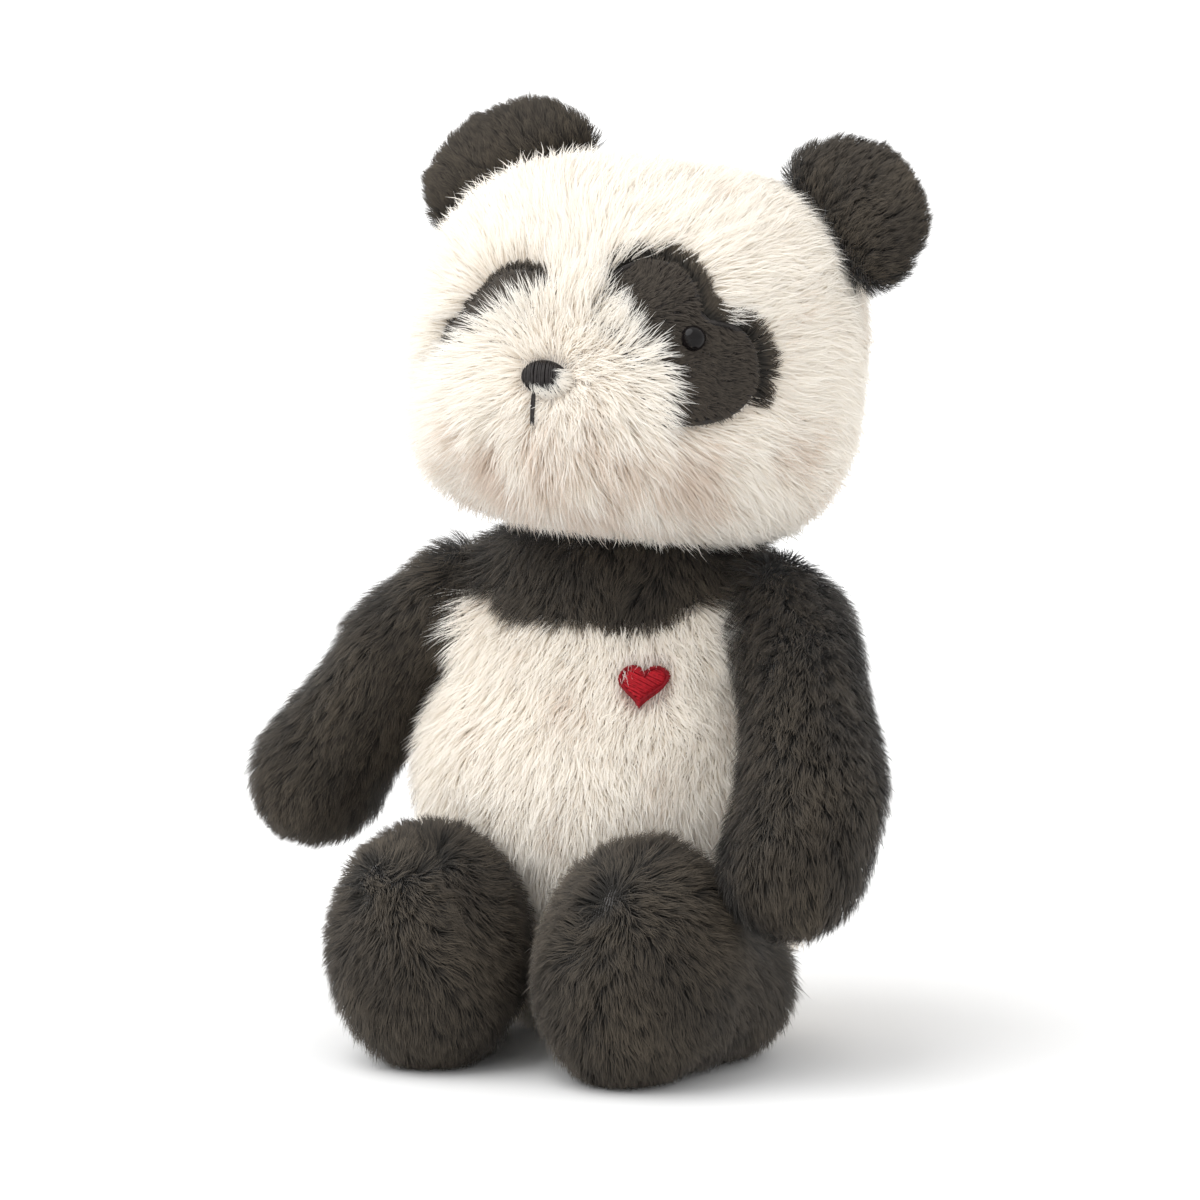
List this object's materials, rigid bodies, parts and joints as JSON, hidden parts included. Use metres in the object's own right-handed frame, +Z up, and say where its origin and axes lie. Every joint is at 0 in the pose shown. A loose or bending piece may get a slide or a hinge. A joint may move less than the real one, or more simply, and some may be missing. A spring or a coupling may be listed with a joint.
{
  "type": "plush panda",
  "caption": "Seated soft toy panda with long cream and dark pile, heart-shaped eye patches, a small red heart on the chest, and soft jointed head, ears, arms and legs.",
  "frame": {"origin": "middle of the seat, on the surface the toy sits on", "axes": "the panda faces -Y, +X is its left side and +Z is up"},
  "size_m": [0.1986, 0.1357, 0.2606],
  "materials": {
    "cream_fur": "long cream pile on knitted backing",
    "dark_fur": "long dark brown pile on knitted backing",
    "patch_plush": "short dark pile with a stitched edge",
    "heart_thread": "red embroidery thread",
    "nose_thread": "dark satin stitch",
    "eye_plastic": "polished black",
    "washer_plastic": "translucent white moulding",
    "polyester_fill": "loose polyester fibre",
    "pouch_cloth": "tight woven cloth over plastic pellets"
  },
  "bodies": {
    "torso": {"base_panel": "cream_fur", "belly_panel": "cream_fur", "back_panel": "cream_fur", "yoke_front_panel": "dark_fur", "yoke_back_panel": "dark_fur", "torso_stuffing": "polyester_fill", "pellet_pouch": "pouch_cloth", "chest_heart": "heart_thread"},
    "neck": {"neck_stuffing": "polyester_fill"},
    "head": {"face_left_panel": "cream_fur", "face_right_panel": "cream_fur", "head_back_left_panel": "cream_fur", "head_back_right_panel": "cream_fur", "head_stuffing": "polyester_fill", "eye_patch_left": "patch_plush", "eye_patch_right": "patch_plush", "eye_left": "eye_plastic", "eye_right": "eye_plastic", "eye_washer_left": "washer_plastic", "eye_washer_right": "washer_plastic", "nose": "nose_thread", "mouth_stitch": "nose_thread"},
    "ear_left": {"ear_front_left": "dark_fur", "ear_back_left": "dark_fur", "ear_stuffing_left": "polyester_fill"},
    "shoulder_left": {"shoulder_stuffing_left": "polyester_fill"},
    "arm_left": {"arm_outer_left": "dark_fur", "arm_inner_left": "dark_fur", "arm_stuffing_left": "polyester_fill"},
    "hip_left": {"hip_stuffing_left": "polyester_fill"},
    "leg_left": {"leg_outer_left": "dark_fur", "leg_inner_left": "dark_fur", "leg_stuffing_left": "polyester_fill"},
    "ear_right": {"ear_front_right": "dark_fur", "ear_back_right": "dark_fur", "ear_stuffing_right": "polyester_fill"},
    "shoulder_right": {"shoulder_stuffing_right": "polyester_fill"},
    "arm_right": {"arm_outer_right": "dark_fur", "arm_inner_right": "dark_fur", "arm_stuffing_right": "polyester_fill"},
    "hip_right": {"hip_stuffing_right": "polyester_fill"},
    "leg_right": {"leg_outer_right": "dark_fur", "leg_inner_right": "dark_fur", "leg_stuffing_right": "polyester_fill"}
  },
  "joints": [
    {"name": "head_turn", "type": "hinge", "parent": "torso", "child": "neck", "pos_m": [0, 0, 0.118], "axis": [0, 0, 1], "range_deg": [-40, 40]},
    {"name": "head_nod", "type": "hinge", "parent": "neck", "child": "head", "pos_m": [0, 0, 0.118], "axis": [1, 0, 0], "range_deg": [-12, 15]},
    {"name": "ear_fold_left", "type": "hinge", "parent": "head", "child": "ear_left", "pos_m": [0.06412, 0.00876, 0.22934], "axis": [0.6542, -0.3875, -0.6495], "range_deg": [-20, 20]},
    {"name": "ear_fold_right", "type": "hinge", "parent": "head", "child": "ear_right", "pos_m": [-0.03923, 0.01056, 0.2402], "axis": [-0.7879, -0.3624, -0.4979], "range_deg": [-20, 20]},
    {"name": "arm_swing_left", "type": "hinge", "parent": "torso", "child": "shoulder_left", "pos_m": [0.052, -0.004, 0.119], "axis": [-1, 0, 0], "range_deg": [0, 50]},
    {"name": "arm_lift_left", "type": "hinge", "parent": "shoulder_left", "child": "arm_left", "pos_m": [0.052, -0.004, 0.119], "axis": [0, -1, 0], "range_deg": [0, 30]},
    {"name": "arm_swing_right", "type": "hinge", "parent": "torso", "child": "shoulder_right", "pos_m": [-0.052, -0.004, 0.119], "axis": [-1, 0, 0], "range_deg": [-35, 75]},
    {"name": "arm_lift_right", "type": "hinge", "parent": "shoulder_right", "child": "arm_right", "pos_m": [-0.052, -0.004, 0.119], "axis": [0, 1, 0], "range_deg": [0, 50]},
    {"name": "leg_splay_left", "type": "hinge", "parent": "torso", "child": "hip_left", "pos_m": [0.04, -0.028, 0.021], "axis": [0, 0, 1], "range_deg": [-2, 5]},
    {"name": "leg_raise_left", "type": "hinge", "parent": "hip_left", "child": "leg_left", "pos_m": [0.04, -0.028, 0.021], "axis": [-1, 0, 0], "range_deg": [0, 6]},
    {"name": "leg_splay_right", "type": "hinge", "parent": "torso", "child": "hip_right", "pos_m": [-0.04, -0.028, 0.021], "axis": [0, 0, -1], "range_deg": [-2, 30]},
    {"name": "leg_raise_right", "type": "hinge", "parent": "hip_right", "child": "leg_right", "pos_m": [-0.04, -0.028, 0.021], "axis": [-1, 0, 0], "range_deg": [0, 6]}
  ]
}
